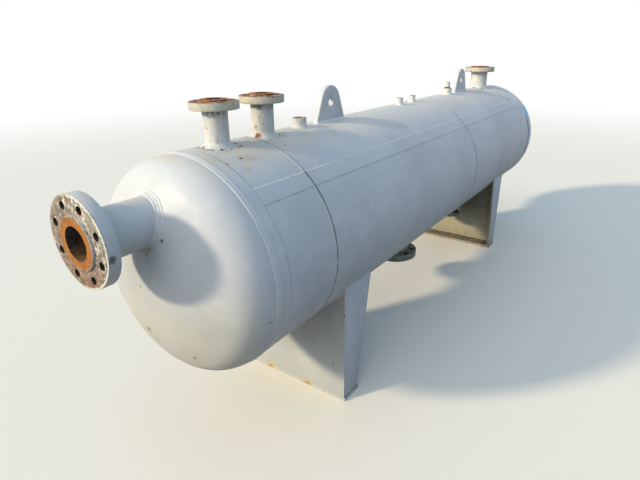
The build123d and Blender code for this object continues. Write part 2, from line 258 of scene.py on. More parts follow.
class SeparatorStudio(bpy.types.PropertyGroup):
    """Camera and light."""

    camera_place: FloatVectorProperty(name="Camera", description="Where the camera stands",
                                      default=(-2.3819, -1.1992, 1.4496), subtype="TRANSLATION")
    camera_yaw: angle_setting("Yaw", "Turn of the view from +X", 0.6219)
    camera_pitch: angle_setting("Pitch", "Tilt of the view from level", -0.3934)
    camera_roll: angle_setting("Roll", "Roll about the view", -0.0108)
    lens: FloatProperty(name="Lens", description="Focal length for a 36 mm wide picture", default=26.376,
                        unit="CAMERA")
    key_azimuth: angle_setting("Key azimuth", "Where the key light stands, from +X", math.radians(148))
    key_height: angle_setting("Key height", "How high the key light stands", math.radians(24.5))
    key_strength: FloatProperty(name="Key strength", description="Strength of the key light", default=3.05)
    key_softness: angle_setting("Key softness", "Angle that the key light fills", math.radians(5))
    fill_azimuth: angle_setting("Fill azimuth", "Where the fill light stands, from +X", math.radians(180))
    fill_height: angle_setting("Fill height", "How high the fill light stands", math.radians(32))
    fill_strength: FloatProperty(name="Fill strength", description="Strength of the fill light", default=1.15)
    fill_softness: angle_setting("Fill softness", "Angle that the fill light fills", math.radians(60))
    sky_strength: FloatProperty(name="Sky strength", description="Strength of the soft light", default=0.7)
    key_colour: colour_setting("Key", "Colour of the key light", "#FFF0D4")
    fill_colour: colour_setting("Fill", "Colour of the fill light", "#FFF9F0")
    sky_colour: colour_setting("Sky", "Colour of the soft light", "#B7D8FF")
    floor_colour: colour_setting("Floor", "Colour of the floor", "#F0E8D6")
    bounce_colour: colour_setting("Bounce", "Colour of the light that the floor throws back", "#625F58")
    floor_reach: length_setting("Floor", "How far out the floor begins to fade into the background", 4.5)


class SeparatorSettings(bpy.types.PropertyGroup):
    """Everything that a user may change."""

    shape: PointerProperty(type=SeparatorShape)
    welds: PointerProperty(type=SeparatorWelds)
    colours: PointerProperty(type=SeparatorColours)
    studio: PointerProperty(type=SeparatorStudio)


def settings():
    """The scene's settings of the separator."""
    return bpy.context.scene.separator


# Finishes


def add_node(tree, kind, inputs=None, **options):
    """Adds a node with its options, and sets or links its inputs."""
    node = tree.nodes.new(kind)
    for option, value in options.items():
        setattr(node, option, value)
    for key, value in (inputs or {}).items():
        if isinstance(value, bpy.types.NodeSocket):
            tree.links.new(value, node.inputs[key])
        else:
            node.inputs[key].default_value = value
    return node


class Finish:
    """A material laid up in coats, with the place on the object and its three parts to measure them by."""

    def __init__(self, name):
        self.material = bpy.data.materials.new(name)
        self.material.use_nodes = True
        self.tree = self.material.node_tree
        self.tree.nodes.clear()
        self.place = add_node(self.tree, "ShaderNodeTexCoord").outputs["Object"]
        self.x, self.y, self.z = add_node(self.tree, "ShaderNodeSeparateXYZ", {0: self.place}).outputs
        self.colour = None

    def share(self, *limits):
        """How much of a coat lies at a place: the product of its limits.

        A limit is a pattern's value, or a value with the range over which it rises smoothly, and with what
        it gives at the two ends of that range where that isn't 0 and 1.
        """
        share = None
        for limit in limits:
            if isinstance(limit, tuple):
                value, start, end, *given = limit
                least, most = given or (0.0, 1.0)
                limit = add_node(self.tree, "ShaderNodeMapRange",
                                 {"Value": value, "From Min": start, "From Max": end, "To Min": least,
                                  "To Max": most}, interpolation_type="SMOOTHSTEP").outputs["Result"]
            if share is not None:
                limit = add_node(self.tree, "ShaderNodeMath", {0: share, 1: limit},
                                 operation="MULTIPLY").outputs[0]
            share = limit
        return share

    def blend(self, under, over, *limits):
        """One colour over another, as far as the limits let it. A named colour is one of the settings."""
        layers = []
        for layer in (under, over):
            if isinstance(layer, str):
                layer = getattr(settings().colours, layer)
            layers.append(layer if isinstance(layer, bpy.types.NodeSocket) else (*layer, 1.0))
        return add_node(self.tree, "ShaderNodeMix", {0: self.share(*limits), 6: layers[0], 7: layers[1]},
                        data_type="RGBA").outputs[2]

    def coat(self, over, *limits):
        """Lays a colour over what is there so far."""
        self.colour = self.blend(self.colour, over, *limits)

    def close(self, roughness, height, depth):
        """The surface shader, with its roughness as a limit and its bump in metres of depth."""
        bump = add_node(self.tree, "ShaderNodeBump", {"Height": height, "Strength": 1.0, "Distance": depth})
        shader = add_node(self.tree, "ShaderNodeBsdfPrincipled",
                          {"Base Color": self.colour, "Roughness": self.share(roughness),
                           "Normal": bump.outputs[0]})
        add_node(self.tree, "ShaderNodeOutputMaterial", {"Surface": shader.outputs[0]})

    def grain(self, size, detail=4.0, stretch=(1.0, 1.0, 1.0), shift=0.0):
        """Cloudy variation with features of a real size, drawn out along an axis where stretched."""
        moved = add_node(self.tree, "ShaderNodeMapping", {"Vector": self.place, "Location": (shift,) * 3,
                                                          "Scale": [1 / share for share in stretch]})
        return add_node(self.tree, "ShaderNodeTexNoise", {"Vector": moved.outputs[0], "Scale": 1 / size,
                                                          "Detail": detail, "Roughness": 0.6}).outputs["Fac"]

    def spots(self, spacing, radius, share):
        """Scattered spots of a real radius, on a share of the cells of a real spacing."""
        cells = add_node(self.tree, "ShaderNodeTexVoronoi", {"Vector": self.place, "Scale": 1 / spacing})
        chosen = add_node(self.tree, "ShaderNodeSeparateColor", {"Color": cells.outputs["Color"]})
        sized = add_node(self.tree, "ShaderNodeMath", {0: chosen.outputs[1], 1: radius / spacing},
                         operation="MULTIPLY")
        inside = add_node(self.tree, "ShaderNodeMath", {0: sized.outputs[0], 1: cells.outputs["Distance"]},
                          operation="SUBTRACT")
        return self.share((inside.outputs[0], 0.0, 0.08 * radius / spacing),
                          (chosen.outputs[0], share + 0.01, share))

    def near(self, centre, inner, outer, ragged=None, amount=0.0, place=None):
        """1 within a distance of a point and 0 further out, with a ragged edge where grain is given."""
        distance = add_node(self.tree, "ShaderNodeVectorMath", {0: place or self.place, 1: centre},
                            operation="DISTANCE").outputs["Value"]
        if ragged:
            distance = add_node(self.tree, "ShaderNodeMath", {0: ragged, 1: amount, 2: distance},
                                operation="MULTIPLY_ADD").outputs[0]
        return self.share((distance, outer + amount / 2, inner + amount / 2))

    def facing(self, axis, low, high):
        """The share of the surface by how far it faces along an axis: up, for one, is where dirt settles."""
        normal = add_node(self.tree, "ShaderNodeNewGeometry").outputs["Normal"]
        parts = add_node(self.tree, "ShaderNodeSeparateXYZ", {0: normal}).outputs
        return self.share((parts[axis], low, high))

    def weather(self):
        """Grey enamel weathered outdoors: chalked and dull patches, painted warm light low on the inlet head,
        dust on top and chips.
        """
        self.colour = self.blend("enamel", "enamel_dull", (self.grain(0.55), 0.35, 0.65))
        self.coat("enamel_pale", (self.grain(0.16, 5.0, shift=3.0), 0.5, 0.78, 0.0, 0.6))
        self.coat("enamel_dull", (self.grain(0.018, 6.0, shift=5.0), 0.35, 0.7, 0.0, 0.3))
        # Painted warm light: the inlet head is tinted ochre low down, where light thrown up from the ground
        # falls
        self.coat("ochre", (self.x, NEAR_SEAM - 0.03, NEAR_SEAM - 0.12),
                  (self.z, AXIS_HEIGHT + 0.12, AXIS_HEIGHT - 0.2),
                  (self.grain(0.1, 5.0, shift=4.0), 0.25, 0.6, 0.12, 0.3))
        self.coat("dust", self.facing("Z", 0.8, 0.98), (self.x, NEAR_SEAM + 0.9, NEAR_SEAM + 0.3, 0.45, 0.85),
                  (self.grain(0.07, 6.0, shift=7.0), 0.34, 0.6, 0.1, 1.0))
        self.coat("pit", self.spots(0.17, 0.004, 0.3))

    def mark(self, group):
        """The single chips and stains of a group, each with its ragged edge."""
        ragged = self.grain(0.006, 5.0, shift=11.0)
        for centre, radius, colour, strength in MARKS[group]:
            stain = self.near(centre, radius * 0.4, radius, ragged, radius * 1.6)
            self.coat(colour, (stain, 0.0, 1.0, 0.0, strength))

    def spill(self):
        """Paint spilt over the far head's rim: a blue smear, and a violet line running down beside it."""
        line = add_node(self.tree, "ShaderNodeMath", {0: self.grain(0.02, 4.0), 1: 0.016, 2: self.x},
                        operation="MULTIPLY_ADD").outputs[0]
        self.coat("violet", (line, FAR_SEAM - 0.044, FAR_SEAM - 0.038),
                  (line, FAR_SEAM - 0.018, FAR_SEAM - 0.024), (self.z, 0.62, 0.68), (self.z, 0.95, 0.92),
                  (self.y, -0.2, -0.22))
        brushed = self.grain(0.03, 6.0, (0.3, 1.0, 1.6), 3.0)
        self.coat("blue", self.near((FAR_SEAM + 0.035, -0.325, 0.955), 0.045, 0.065, brushed, 0.16),
                  (brushed, 0.3, 0.36))


def shell_enamel(skin):
    """Semi-gloss alkyd enamel, sprayed on rolled plate: weathered, with pale runs down its sides."""
    skin.weather()
    # Rain has washed pale runs down the side, most of all on the far course
    skin.coat("enamel_pale", (skin.grain(0.012, 3.0, (1.0, 8.0, 16.0), 2.0), 0.5, 0.62),
              (skin.grain(0.05, 2.0, (1.0, 6.0, 6.0), 9.0), 0.35, 0.6), (skin.x, 0.45, 0.8, 0.04, 0.3),
              (skin.z, AXIS_HEIGHT - 0.12, AXIS_HEIGHT + 0.1),
              (skin.z, AXIS_HEIGHT + 0.24, AXIS_HEIGHT + 0.16))
    # Soil and scale gather round the roots of the top nozzles
    soil = skin.grain(0.009, 5.0, shift=8.0)
    for name in TOP_NOZZLES:
        root, reach = (middle_of(name + "_weld").x, 0.0, SHELL_HIGH.z), across_box(name + "_weld", UP)
        skin.coat("olive", (soil, 0.46, 0.6, 0.0, 0.7), skin.near(root, reach, reach + 0.045))
        skin.coat("scale", (soil, 0.54, 0.6), skin.near(root, reach + 0.001, reach + 0.026))
    skin.mark("shell")
    skin.spill()
    # Orange peel, drawn at 5 mm because its real 1 mm is too fine to show
    skin.close((skin.grain(0.09), 0.3, 0.7, 0.48, 0.62), skin.grain(0.005, 2.0), 0.0004)


def saddle_enamel(skin):
    """The same enamel on the saddles' plates, with painted warm sunlight and painted shade, splashed from the
    ground and rusting at the foot.
    """
    skin.weather()
    # Painted warm sunlight: the faces toward -X, where the key light comes from, are tinted ochre
    front = skin.facing("X", -0.4, -0.9)
    skin.coat("ochre", (skin.grain(0.2, 4.0), 0.25, 0.6, 0.5, 1.0), (skin.x, -0.9, 0.95, 0.15, 0.8), front)
    skin.coat("olive", (skin.z, 0.1, 0.0), (skin.x, -0.6, 0.9, 0.1, 0.8),
              (skin.grain(0.03, 6.0), 0.35, 0.65, 0.1, 0.8))
    # Painted shade: the faces toward -X are darkened under the vessel, and those of the far saddle all over
    # as well
    skin.coat("grime", (skin.z, 0.1, 0.3, 0.0, 0.8), (skin.x, -0.9, 0.95, 0.5, 1.0),
              (skin.grain(0.12, 4.0, shift=8.0), 0.3, 0.6, 0.6, 1.0), front)
    skin.coat("grime", (skin.x, 0.0, 0.9, 0.0, 0.35), front)
    # Rust glows through at two places of the near foot's front edge, and in spots elsewhere
    ragged = skin.grain(0.012, 6.0, shift=5.0)
    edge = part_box("near_saddle_base")[0].x
    for across in RUST_GLOWS:
        glow = skin.near((edge, across, -0.002), 0.006, 0.03, ragged, 0.024)
        skin.coat("ochre", (skin.near((edge, across, -0.006), 0.014, 0.06), 0, 1, 0, 0.75))
        skin.coat("rust_light", (glow, 0, 1, 0, 0.8), (ragged, 0.36, 0.5, 0.3, 1.0))
    skin.coat("rust", (skin.z, 0.016, 0.002), (skin.x, -0.8, 1.0, 0.2, 0.8),
              (skin.grain(0.02, 6.0), 0.48, 0.6))
    # Soil, black crumbs and a little rust lie on the flat of the foot plates
    flat = skin.facing("Z", 0.85, 0.98)
    skin.coat("olive", flat, (skin.grain(0.03, 6.0, shift=6.0), 0.3, 0.45))
    skin.coat("grime", flat, (skin.grain(0.02, 6.0, shift=1.0), 0.42, 0.52, 0.2, 1.0))
    skin.coat("rust", flat, (skin.grain(0.05, 5.0, shift=9.0), 0.56, 0.62))
    skin.coat("scale", flat, skin.spots(0.03, 0.016, 0.35))
    skin.mark("saddles")
    skin.close((skin.grain(0.09), 0.3, 0.7, 0.5, 0.65), skin.grain(0.005, 2.0), 0.0004)


def fitting_enamel(skin):
    """Enamel brushed thickly on forgings: smooth on the inlet, cream, streaked and spotted on top."""
    skin.weather()
    on_top = skin.share((skin.z, SHELL_HIGH.z - 0.02, SHELL_HIGH.z + 0.02))
    skin.coat("cream", on_top, (skin.grain(0.06, 5.0, shift=1.0), 0.3, 0.65, 0.35, 0.85))
    skin.coat("enamel_dull", on_top, (skin.grain(0.006, 4.0, (1.0, 1.0, 6.0), 3.0), 0.45, 0.65, 0.0, 0.75))
    skin.coat("olive", on_top, (skin.grain(0.022, 5.0, (1.0, 1.0, 2.0), 6.0), 0.54, 0.7, 0.0, 0.4))
    skin.coat("rust", on_top, (skin.grain(0.016, 6.0, shift=4.0), 0.66, 0.72, 0.0, 0.8))
    skin.coat("pit", on_top, skin.spots(0.024, 0.0028, 0.45))
    # A thin film dulls the rims, and grime, primer and scale creep over their upper edges
    rim = MOUNTS["top_nozzle_1_bolts"]["pos_m"][2]
    skin.coat("grime", (skin.z, rim - 0.034, rim - 0.028, 0.0, 0.2))
    skin.coat("ochre", (skin.z, rim - 0.03, rim - 0.02),
              (skin.grain(0.05, 3.0, shift=5.0), 0.35, 0.6, 0.15, 0.45))
    skin.coat("grime", (skin.z, rim - 0.014, rim - 0.001),
              (skin.grain(0.02, 6.0, shift=2.0), 0.48, 0.66, 0.0, 0.5))
    skin.coat("primer", (skin.z, rim - 0.012, rim - 0.001),
              (skin.grain(0.03, 4.0, shift=8.0), 0.45, 0.6, 0.0, 0.6))
    skin.coat("scale", (skin.z, rim - 0.008, rim), (skin.grain(0.009, 6.0, shift=9.0), 0.58, 0.64))
    # The sides of the top nozzles' raised faces have lost their paint, and a patchy dark band under the rims
    # is painted shade
    raised = skin.share((skin.z, rim, rim + 0.001))
    skin.coat("rust", raised, (skin.grain(0.02, 5.0, shift=3.0), 0.36, 0.52, 0.35, 1.0))
    skin.coat("rust_dark", raised, (skin.grain(0.012, 5.0, shift=1.0), 0.5, 0.58, 0.0, 0.8))
    skin.coat("grime", (skin.z, rim - 0.052, rim - 0.036), (skin.z, rim - 0.02, rim - 0.03),
              (skin.grain(0.012, 5.0, shift=12.0), 0.42, 0.6, 0.0, 0.9))
    skin.mark("fittings")
    # The bottom fittings are grown over with olive grime
    below = skin.share((skin.z, SHELL_LOW.z + 0.04, SHELL_LOW.z - 0.02))
    skin.coat("olive", below, (skin.grain(0.04, 5.0, shift=1.0), 0.3, 0.5, 0.6, 1.0))
    skin.coat("grime", below, (skin.grain(0.025, 6.0, shift=3.0), 0.4, 0.65, 0.0, 0.8))
    # A greasy thumb-sized smudge and chips along the inlet flange's front edge
    front = MOUNTS["inlet_nozzle_bolts"]["pos_m"][0]
    ragged = skin.grain(0.006, 5.0, shift=11.0)
    skin.coat("grime", skin.near((front + 0.012, *SMUDGE), 0.004, 0.017, ragged, 0.014))
    skin.coat("pit", (skin.x, front + 0.005, front + 0.001), (ragged, 0.55, 0.61))
    skin.close((skin.grain(0.04), 0.3, 0.7, 0.48, 0.65), skin.grain(0.007, 4.0), 0.0006)


def bead_enamel(skin):
    """Enamel over weld beads; their own groove and crest attributes say where grime and painted shade lie,
    and where painted highlight goes.
    """
    skin.weather()
    groove, crest = [add_node(skin.tree, "ShaderNodeAttribute", attribute_name=name).outputs["Fac"]
                     for name in ("groove", "crest")]
    # Crests are painted paler, and the fillets, whose crest is below 0, all over; on the long seam's bead the
    # paler crest is painted highlight
    skin.coat("enamel_pale", (crest, 0.05, 0.45, 0.0, 0.9))
    skin.coat("enamel_pale", (crest, -0.05, -0.3, 0.0, 0.6))
    # The long seam's upper bead is painted cream: a painted highlight where the key light catches it
    ridge = skin.share((crest, 0.55, 0.8))
    skin.coat("cream", ridge, (skin.x, -0.6, 1.2, 1.0, 0.3), (skin.grain(0.02, 5.0, shift=2.0), 0.3, 0.4))
    skin.coat("grime", ridge, (skin.grain(0.01, 4.0, (3.0, 1.0, 1.0), 4.0), 0.6, 0.66, 0.0, 0.8))
    # Grime lies in grooves and toes; in the long seam's lower toe it is painted shade
    skin.coat("grime", (groove, 0.3, 0.95), (skin.x, -0.9, 1.2, 1.0, 0.6),
              (skin.grain(0.03, 5.0), 0.28, 0.55, 0.3, 0.75))
    # Black specks stick to the fillets alone, whose crest is less than 0
    skin.coat("scale", (crest, -0.2, -0.3), (skin.grain(0.007, 5.0, shift=8.0), 0.62, 0.67, 0.0, 0.7))
    # The inlet's fillet is grown over with olive grime on its underside, where the rain doesn't reach
    inlet = MOUNTS["inlet_nozzle_bore"]["pos_m"][2]
    skin.coat("olive", (skin.x, NEAR_SEAM - 0.1, NEAR_SEAM - 0.16), (skin.z, inlet - 0.03, inlet - 0.075),
              (skin.grain(0.03, 4.0), 0.3, 0.55, 0.15, 0.6))
    skin.mark("shell")
    skin.spill()
    skin.close((groove, 0.0, 1.0, 0.5, 0.8), skin.grain(0.004, 4.0), 0.0005)


def seam_enamel(skin):
    """Enamel on the narrow girth seams: a broad olive band on top, drawn in to a dark line down the side."""
    skin.weather()
    groove = add_node(skin.tree, "ShaderNodeAttribute", attribute_name="groove").outputs["Fac"]
    lower = skin.share((skin.z, SHELL_HIGH.z - 0.06, SHELL_HIGH.z - 0.11))
    drawn_in = groove
    for pattern, amount in ((skin.grain(0.02, 5.0), 0.5), (lower, -0.3)):
        drawn_in = add_node(skin.tree, "ShaderNodeMath", {0: pattern, 1: amount, 2: drawn_in},
                            operation="MULTIPLY_ADD").outputs[0]
    band = skin.blend("olive", "grime", (lower, 0.2, 0.9))
    skin.coat(band, (drawn_in, 0.38, 0.62), (lower, 0.0, 1.0, 0.35, 0.85),
              (skin.grain(0.05, 5.0, shift=3.0), 0.25, 0.5, 0.6, 1.0))
    skin.close((groove, 0.0, 1.0, 0.5, 0.8), skin.grain(0.004, 4.0), 0.0005)


def flaking_enamel(skin):
    """Paint flaking off bolting faces: cream paint and primer over brown rust, olive where it stays damp."""
    inlet = Vector(MOUNTS["inlet_nozzle_bolts"]["pos_m"])
    rim = across_box("inlet_nozzle", Vector((1, 0, 0)))
    on_top = skin.share((skin.z, SHELL_HIGH.z + 0.06, SHELL_HIGH.z + 0.12))
    # Sound paint is left most of all at the upper right of the inlet's face, rust at its foot
    kept = skin.share((skin.y, 0.09, -0.11), (skin.z, inlet.z - 0.16, inlet.z + 0.08))
    flakes = skin.grain(0.011, 14.0, shift=1.0)
    patchy = skin.grain(0.045, 5.0, shift=2.0)
    sound = add_node(skin.tree, "ShaderNodeMath", {0: kept, 1: 0.14, 2: flakes},
                     operation="MULTIPLY_ADD").outputs[0]
    skin.colour = skin.blend("bare", "olive", (skin.grain(0.02, 6.0, shift=6.0), 0.4, 0.6, 0.0, 0.7))
    skin.coat("rust_dark", (skin.grain(0.007, 6.0, shift=3.0), 0.56, 0.68, 0.0, 0.6))
    skin.coat("primer", (skin.grain(0.018, 7.0, shift=4.0), 0.5, 0.6, 0.0, 0.5))
    skin.coat("dust", (sound, 0.53, 0.65, 0.0, 0.65), (patchy, 0.35, 0.6, 0.3, 1.0))
    skin.coat("cream", (sound, 0.6, 0.68, 0.0, 0.9), (patchy, 0.4, 0.6, 0.1, 1.0))
    skin.coat("rust", (skin.z, inlet.z - 0.02, inlet.z - 0.14),
              (skin.grain(0.012, 6.0, shift=9.0), 0.46, 0.6, 0.1, 0.8))
    # The sound paint of the rim laps a few millimetres over the face on its right
    from_middle = add_node(skin.tree, "ShaderNodeVectorMath", {0: skin.place, 1: inlet},
                           operation="DISTANCE").outputs["Value"]
    lapped = add_node(skin.tree, "ShaderNodeMath", {0: flakes, 1: 0.016, 2: from_middle},
                      operation="MULTIPLY_ADD").outputs[0]
    skin.coat("cream", (lapped, rim, rim + 0.002), (skin.y, 0.03, -0.03, 0.15, 1.0),
              (skin.x, inlet.x + 0.1, inlet.x))
    # The top nozzles' faces look up, and hold more rust and black crumbs
    skin.coat("rust", on_top, (skin.grain(0.02, 6.0, shift=5.0), 0.38, 0.52, 0.1, 0.9))
    skin.coat("scale", on_top, (skin.grain(0.02, 5.0, shift=7.0), 0.52, 0.57, 0.0, 0.85))
    skin.close((sound, 0.5, 0.6, 0.9, 0.55), sound, 0.0012)


def orange_rust(skin):
    """Fresh rust on machined steel, such as a gasket face left bare in the rain."""
    cloud = skin.share((skin.grain(0.03, 6.0), 0.4, 0.7))
    skin.colour = skin.blend("rust_light", "rust", cloud)
    skin.coat("scale", (skin.z, SHELL_HIGH.z, SHELL_HIGH.z + 0.05),
              (skin.grain(0.018, 5.0, shift=7.0), 0.52, 0.58, 0.0, 0.85))
    skin.coat("rust_dark", (skin.grain(0.006, 6.0, shift=3.0), 0.6, 0.7, 0.0, 0.6))
    skin.close((cloud, 0.0, 1.0, 0.8, 0.95), skin.grain(0.003, 6.0), 0.0005)


def scale_rust(skin):
    """Dark mill scale and rust inside the bores and the vessel, with lighter rust lying low in it."""
    skin.colour = skin.blend("rust_dark", "rust", (skin.grain(0.05, 7.0), 0.45, 0.75, 0.0, 0.5))
    # The inlet's bore holds fresh rust; the bolt holes round it only old scale
    inlet = MOUNTS["inlet_nozzle_bore"]
    upright = add_node(skin.tree, "ShaderNodeVectorMath", {0: skin.place, 1: (0, 1, 1)},
                       operation="MULTIPLY").outputs[0]
    bore = inlet["dims"]["r_mm"] / 1000
    skin.coat("rust_light", skin.facing("Z", 0.4, 0.75),
              skin.near((0, 0, inlet["pos_m"][2]), bore + 0.002, bore + 0.006, place=upright),
              (skin.grain(0.02, 5.0), 0.3, 0.5, 0.05, 0.35))
    skin.coat("grime", (skin.grain(0.015, 5.0, shift=2.0), 0.45, 0.6, 0.0, 0.6))
    skin.close(0.9, skin.grain(0.008, 6.0), 0.0015)


def material_of(finish):
    """The material that a finish's function lays up, made when it is first asked for."""
    name = finish.__name__
    if name not in bpy.data.materials:
        finish(Finish(name))
    return bpy.data.materials[name]


# Shaping


def publish(bm, name, finishes, nodes):
    """Turns a finished bmesh into a piece: smooth but for its sharp edges, riding on the vessel."""
    for face in bm.faces:
        face.smooth = True
    for edge in bm.edges:
        edge.smooth = edge.calc_face_angle(0.0) < SMOOTH_BELOW
    mesh = bpy.data.meshes.new(name)
    bm.to_mesh(mesh)
    bm.free()
    for finish in finishes:
        mesh.materials.append(material_of(finish))
    piece = bpy.data.objects.new(name, mesh)
    bpy.context.scene.collection.objects.link(piece)
    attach(piece, "root")
    if nodes:
        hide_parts(*nodes)


def closed_outline(bm, points):
    """Draws a section's outline, but for any edge on the axis, and gives its vertices and edges."""
    verts = [bm.verts.new(point) for point in points]
    return verts + [bm.edges.new(pair) for pair in zip(verts, verts[1:] + verts[:1])
                    if pair[0].co.x > 0 or pair[1].co.x > 0]


def spun(points, steps):
    """A closed body of revolution about Z from (radius, height) points, in order round the section."""
    bm = bmesh.new()
    section = closed_outline(bm, [(radius, 0.0, height) for radius, height in points])
    bmesh.ops.spin(bm, geom=section, cent=(0, 0, 0), axis=UP, dvec=(0, 0, 0), angle=2 * math.pi,
                   steps=steps, use_merge=True, use_duplicate=False)
    bmesh.ops.remove_doubles(bm, verts=bm.verts, dist=MERGED)
    bmesh.ops.recalc_face_normals(bm, faces=bm.faces)
    return bm


def round_off(bm, edges, width, segments=2):
    """Eases edges."""
    bmesh.ops.bevel(bm, geom=edges, offset=width, offset_type="OFFSET", segments=segments, profile=0.5,
                    affect="EDGES", clamp_overlap=True, material=-1)


def sharp_edges(bm):
    """The edges that are sharp enough to be eased."""
    return [edge for edge in bm.edges if edge.calc_face_angle(0.0) > SHARP_ABOVE]


def stood(centre, axis):
    """The matrix that stands a body made about Z at a place, along an axis."""
    return Matrix.Translation(centre) @ axis.to_track_quat("Z", "Y").to_matrix().to_4x4()


def carve(bm, cutters):
    """Cuts round bars, given as (centre, direction, radius, length), out of a closed bmesh."""
    tool = bmesh.new()
    for centre, direction, radius, length in cutters:
        bmesh.ops.create_cone(tool, cap_ends=True, segments=HOLE_STEPS, radius1=radius, radius2=radius,
                              depth=length, matrix=stood(centre, direction))
    objects = []
    for source in (bm, tool):
        mesh = bpy.data.meshes.new("carving")
        source.to_mesh(mesh)
        objects.append(bpy.data.objects.new("carving", mesh))
        bpy.context.scene.collection.objects.link(objects[-1])
    tool.free()
    cut = objects[0].modifiers.new("cut", "BOOLEAN")
    cut.operation = "DIFFERENCE"
    cut.solver = "EXACT"
    cut.object = objects[1]
    done = bpy.data.meshes.new_from_object(objects[0].evaluated_get(bpy.context.evaluated_depsgraph_get()))
    bm.clear()
    bm.from_mesh(done)
    for mesh in [done] + [piece.data for piece in objects]:
        bpy.data.meshes.remove(mesh)


def arc_points(centre, radius, start, end, count):
    """Points on an arc, in degrees from the first axis, ends included."""
    angles = [math.radians(start + (end - start) * i / count) for i in range(count + 1)]
    return [(centre[0] + radius * math.cos(a), centre[1] + radius * math.sin(a)) for a in angles]


def head_outline(growth):
    """A head's half outline as (distance out from the seam, distance from the axis), crown first."""
    shape = settings().shape
    inner = SHELL_RADIUS - shape.wall
    knuckle_from_axis = inner - shape.knuckle
    turn = math.asin(knuckle_from_axis / (shape.dish - shape.knuckle))
    setback = (shape.dish - shape.knuckle) * math.cos(turn)
    straight = HEAD_LENGTH - (shape.dish + shape.wall - setback)
    turn = math.degrees(turn)
    dish = arc_points((straight - setback, 0.0), shape.dish + growth, 0, turn, DISH_STEPS)
    knuckle = arc_points((straight, knuckle_from_axis), shape.knuckle + growth, turn, 90, KNUCKLE_STEPS)
    return dish + knuckle[1:] + [(0.0, inner + growth)]


def head_surface(from_axis):
    """How far out from the seam a head's outer surface stands, at a distance from the axis."""
    outline = head_outline(settings().shape.wall)
    for (out, height), (next_out, next_height) in zip(outline, outline[1:]):
        if height <= from_axis <= next_height:
            return out + (next_out - out) * (from_axis - height) / max(next_height - height, 1e-9)
    return 0.0


def middle_of(node):
    """The middle of a node's box."""
    low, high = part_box(node)
    return (low + high) / 2


def across_box(node, axis):
    """Half the width of a node's box, across an axis."""
    low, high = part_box(node)
    return (high.x - low.x) / 2 if abs(axis.z) > 0.5 else (high.y - low.y) / 2


def along_box(node, axis):
    """The length of a node's box, along an axis."""
    low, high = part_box(node)
    return abs((high - low).dot(axis))


def nozzle_measures(name):
    """A nozzle's size, the middle of its gasket face, its direction, and the bore and bolts of its size."""
    size, axis = NOZZLES[name]
    centre = middle_of(name) + axis * along_box(name, axis) / 2
    bore = MOUNTS[size["like"] + "_bore"]["dims"]["r_mm"] / 1000
    return size, centre, axis, bore, MOUNTS[size["like"] + "_bolts"]["dims"]


def coupling_measures(name):
    """The middle of a coupling's end face and its outside radius."""
    return Vector((middle_of(name).x, 0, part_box(name)[1].z)), across_box(name, UP)


def onto_vessel(point, axis):
    """The point of the vessel's outer surface that lies under a point, along a nozzle's axis."""
    if abs(axis.x) > 0.5:
        from_axis = math.hypot(point.y, point.z - AXIS_HEIGHT)
        return Vector((NEAR_SEAM - head_surface(from_axis), point.y, point.z))
    rise = math.sqrt(SHELL_RADIUS**2 - point.y**2)
    return Vector((point.x, point.y, AXIS_HEIGHT + axis.z * rise))


# Weld beads


def hump(t, middle, half_width):
    """A smooth hump, 1 at its middle and 0 from half its width on."""
    return 0.5 + 0.5 * math.cos(math.pi * min(1.0, abs(t - middle) / half_width))


def strip_places(edge, edge_steps, width, strip_steps):
    """Places across a seam: close together over its standing edge, further apart over its ground strip."""
    places = [edge * i / edge_steps for i in range(edge_steps + 1)]
    places += [edge + (width - TOE - edge) * i / strip_steps for i in range(1, strip_steps + 1)]
    return places + [width - TOE / 2, width]


def head_seam_section(width, height, side):
    """Section of a head's wide seam as (across, up, exposed, groove, crest).

    A few beads are left standing beside the head, the rest is ground to a flat strip, and dirt lies in the
    sharp toe at its other edge. side is -1 where the head is on the low side of X.
    """
    welds = settings().welds
    middles = [welds.ridge_pitch * (i + 0.65) for i in range(welds.ridges)]
    ridge_end = welds.ridge_pitch * (welds.ridges + 0.3)
    section = []
    for place in strip_places(ridge_end, 24, width, 6):
        rise = min(1.0, place / TOE, (width - place) / TOE)
        ridge = max(hump(place, middle, welds.ridge_pitch * 0.46) for middle in middles)
        groove = 0.65 if place > width - TOE_DIRT_AND_SHADE else 0.35 * (1 - ridge) * (place < ridge_end)
        up = height * (0.34 * rise + 0.5 * ridge)
        section.append((side * (width / 2 - place), up, 0.12 + 0.3 * ridge, groove, 0.5 * ridge))
    return section + [(-side * width / 2, -BURIED / 4, 0, 0.5, 0), (side * width / 2, -BURIED / 4, 0, 0, 0)]


def long_seam_section(width, height):
    """Section of the long seam: a bead along its upper edge, painted cream as a highlight, a flat strip and a
    sharp lower toe darkened as painted shade.
    """
    edge = settings().welds.edge_bead
    section = []
    for place in strip_places(edge, 8, width, 7):
        rise = min(1.0, place / (TOE / 2), (width - place) / TOE)
        bead = hump(place, edge / 2, edge / 2)
        # The lower toe is darkened: painted shade under the raised strip's edge
        groove = 0.6 if place > width - TOE_DIRT_AND_SHADE else 0.0
        up = height * (0.5 * rise + 0.5 * bead)
        section.append((place - width / 2, up, 0.1 + 0.7 * bead, groove, bead))
    return section + [(width / 2, -BURIED / 4, 0, 1, 0), (-width / 2, -BURIED / 4, 0, 0, 0)]


def course_seam_section(width, height, count=12):
    """Section of a narrow seam between courses: a low crown with a fine dirty line along its middle."""
    section = []
    for i in range(count + 1):
        t = i / count
        crown = 1 - abs(2 * t - 1) ** 3
        up = height * (0.8 * crown - 0.3 * hump(t, 0.5, 0.17))
        section.append(((t - 0.5) * width, up, 0.5 * crown, 1 - abs(2 * t - 1), 0.0))
    return section + [(width / 2, -BURIED / 4, 0, 0, 0), (-width / 2, -BURIED / 4, 0, 0, 0)]


